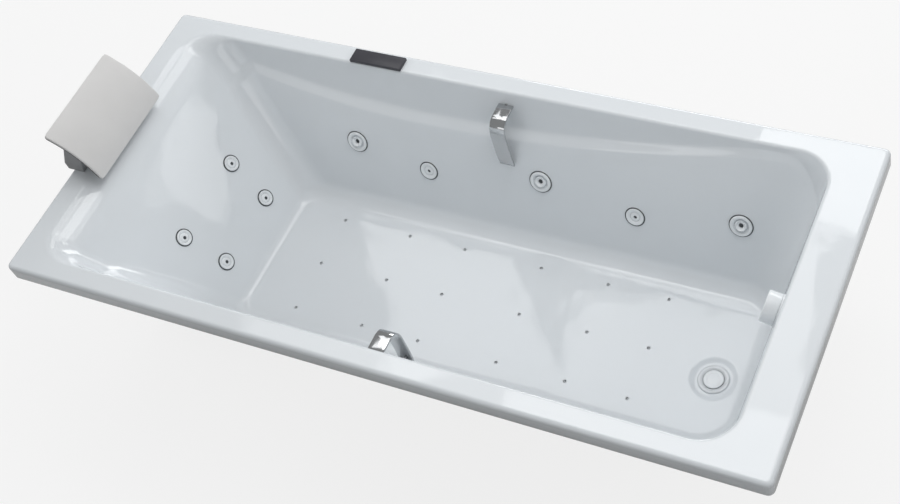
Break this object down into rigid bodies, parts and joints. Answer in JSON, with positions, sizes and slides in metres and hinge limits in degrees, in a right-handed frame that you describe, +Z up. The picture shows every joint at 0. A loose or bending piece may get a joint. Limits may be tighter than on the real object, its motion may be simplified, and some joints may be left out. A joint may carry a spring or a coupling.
{
  "type": "jetted bathtub",
  "caption": "White drop-in jetted bathtub with sloped backrest, headrest, two grips, side and back jets, floor air nozzles, panel, pump, blower and levelling frame",
  "frame": {"origin": "on the floor, under the middle of the whole part's bounding box", "axes": "+X along the bath from the head end to the foot end, +Y to the wall side where the panel is, +Z up"},
  "size_m": [1.812, 0.8, 0.7033],
  "materials": {
    "shell_white": "gloss",
    "white_plastic": "gloss",
    "grey_plastic": "matt",
    "black_plastic": "matt",
    "panel_dark": "satin",
    "chrome_bright": "polished",
    "zinc_steel": "zinc plated",
    "pad_rubber": "soft skin",
    "board": "raw, resin coated",
    "batten_wood": "raw, resin coated",
    "motor_paint": "satin",
    "box_grey": "matt"
  },
  "bodies": {
    "tub": {"tub_shell": "shell_white", "base_board": "board", "rim_battens": "batten_wood", "frame_rails": "zinc_steel", "frame_cross_rails": "zinc_steel", "frame_posts": "zinc_steel", "equipment_trays": "zinc_steel", "foot_lock_nuts": "zinc_steel", "wall_brackets": "zinc_steel", "control_panel": "panel_dark", "grip_far": "chrome_bright", "grip_near": "chrome_bright", "grip_nuts": "zinc_steel", "drain_flange": "white_plastic", "waste_body": "white_plastic", "trap": "white_plastic", "overflow_faceplate": "white_plastic", "overflow_elbow": "white_plastic", "overflow_hose": "grey_plastic", "jet_bodies_far": "white_plastic", "jet_bodies_near": "white_plastic", "jet_bodies_back": "white_plastic", "jet_nuts": "grey_plastic", "jet_bezels": "white_plastic", "jet_water_pipes": "white_plastic", "back_jet_pipes": "white_plastic", "ring_main": "white_plastic", "suction_body": "white_plastic", "suction_cover": "white_plastic", "suction_pipe": "white_plastic", "pump_casing": "black_plastic", "pump_motor": "motor_paint", "blower_casing": "black_plastic", "control_box": "box_grey", "air_injectors": "white_plastic", "air_pipes": "white_plastic"},
    "foot_1": {"foot_1": "black_plastic"},
    "foot_2": {"foot_2": "black_plastic"},
    "foot_3": {"foot_3": "black_plastic"},
    "foot_4": {"foot_4": "black_plastic"},
    "headrest": {"headrest_pad": "pad_rubber", "headrest_bracket": "grey_plastic"},
    "plug": {"drain_plug": "white_plastic"},
    "knob": {"overflow_knob": "white_plastic"},
    "impeller": {"pump_impeller": "grey_plastic"},
    "fan": {"blower_fan": "grey_plastic"},
    "ball_1": {"jet_ball_1": "white_plastic"},
    "ball_2": {"jet_ball_2": "white_plastic"},
    "ball_3": {"jet_ball_3": "white_plastic"},
    "ball_4": {"jet_ball_4": "white_plastic"},
    "ball_5": {"jet_ball_5": "white_plastic"},
    "ball_6": {"jet_ball_6": "white_plastic"},
    "spinner_1": {"jet_spinner_1": "white_plastic"},
    "spinner_2": {"jet_spinner_2": "white_plastic"},
    "spinner_3": {"jet_spinner_3": "white_plastic"},
    "spinner_4": {"jet_spinner_4": "white_plastic"},
    "spinner_5": {"jet_spinner_5": "white_plastic"},
    "spinner_6": {"jet_spinner_6": "white_plastic"},
    "spinner_7": {"jet_spinner_7": "white_plastic"},
    "spinner_8": {"jet_spinner_8": "white_plastic"}
  },
  "joints": [
    {"name": "level_1", "type": "slide", "parent": "tub", "child": "foot_1", "axis": [0, 0, -1], "range_m": [-0.012, 0.012]},
    {"name": "level_2", "type": "slide", "parent": "tub", "child": "foot_2", "axis": [0, 0, -1], "range_m": [-0.012, 0.012]},
    {"name": "level_3", "type": "slide", "parent": "tub", "child": "foot_3", "axis": [0, 0, -1], "range_m": [-0.012, 0.012]},
    {"name": "level_4", "type": "slide", "parent": "tub", "child": "foot_4", "axis": [0, 0, -1], "range_m": [-0.012, 0.012]},
    {"name": "headrest_slide", "type": "slide", "parent": "tub", "child": "headrest", "axis": [0, 0, 1], "range_m": [0, 0.018]},
    {"name": "knob_turn", "type": "hinge", "parent": "tub", "child": "knob", "pos_m": [0.78886, 0, 0.494], "axis": [-0.9679, 0, 0.2513], "range_deg": [0, 110]},
    {"name": "plug_lift", "type": "slide", "parent": "tub", "child": "plug", "axis": [0, 0, 1], "range_m": [0, 0.009]},
    {"name": "impeller_spin", "type": "hinge", "parent": "tub", "child": "impeller", "pos_m": [-0.739, -0.06, 0.181], "axis": [0, 1, 0], "continuous": true},
    {"name": "fan_spin", "type": "hinge", "parent": "tub", "child": "fan", "pos_m": [0.438, 0.33, 0.0733], "axis": [0, 0, 1], "continuous": true},
    {"name": "ball_tilt_1", "type": "hinge", "parent": "tub", "child": "ball_1", "pos_m": [-0.38, 0.27075, 0.35687], "axis": [1, 0, 0], "range_deg": [-12, 12]},
    {"name": "ball_tilt_2", "type": "hinge", "parent": "tub", "child": "ball_2", "pos_m": [0.118, 0.27075, 0.35687], "axis": [1, 0, 0], "range_deg": [-12, 12]},
    {"name": "ball_tilt_3", "type": "hinge", "parent": "tub", "child": "ball_3", "pos_m": [0.607, 0.27075, 0.35687], "axis": [1, 0, 0], "range_deg": [-12, 12]},
    {"name": "ball_tilt_4", "type": "hinge", "parent": "tub", "child": "ball_4", "pos_m": [-0.38, -0.27075, 0.35687], "axis": [1, 0, 0], "range_deg": [-12, 12]},
    {"name": "ball_tilt_5", "type": "hinge", "parent": "tub", "child": "ball_5", "pos_m": [0.118, -0.27075, 0.35687], "axis": [1, 0, 0], "range_deg": [-12, 12]},
    {"name": "ball_tilt_6", "type": "hinge", "parent": "tub", "child": "ball_6", "pos_m": [0.607, -0.27075, 0.35687], "axis": [1, 0, 0], "range_deg": [-12, 12]},
    {"name": "spin_1", "type": "hinge", "parent": "tub", "child": "spinner_1", "pos_m": [-0.183, 0.25335, 0.322], "axis": [0, -0.9265, 0.3762], "continuous": true},
    {"name": "spin_2", "type": "hinge", "parent": "tub", "child": "spinner_2", "pos_m": [0.355, 0.25335, 0.322], "axis": [0, -0.9265, 0.3762], "continuous": true},
    {"name": "spin_3", "type": "hinge", "parent": "tub", "child": "spinner_3", "pos_m": [-0.183, -0.25335, 0.322], "axis": [0, 0.9265, 0.3762], "continuous": true},
    {"name": "spin_4", "type": "hinge", "parent": "tub", "child": "spinner_4", "pos_m": [0.355, -0.25335, 0.322], "axis": [0, 0.9265, 0.3762], "continuous": true},
    {"name": "spin_5", "type": "hinge", "parent": "tub", "child": "spinner_5", "pos_m": [-0.6634, 0.116, 0.369], "axis": [0.8154, 0, 0.5789], "continuous": true},
    {"name": "spin_6", "type": "hinge", "parent": "tub", "child": "spinner_6", "pos_m": [-0.6634, -0.116, 0.369], "axis": [0.8154, 0, 0.5789], "continuous": true},
    {"name": "spin_7", "type": "hinge", "parent": "tub", "child": "spinner_7", "pos_m": [-0.59383, 0.1, 0.271], "axis": [0.8154, 0, 0.5789], "continuous": true},
    {"name": "spin_8", "type": "hinge", "parent": "tub", "child": "spinner_8", "pos_m": [-0.59383, -0.1, 0.271], "axis": [0.8154, 0, 0.5789], "continuous": true}
  ],
  "couplings": [
    {"joint": "plug_lift", "follows": "knob_turn", "m_per_rad": 0.004687}
  ]
}
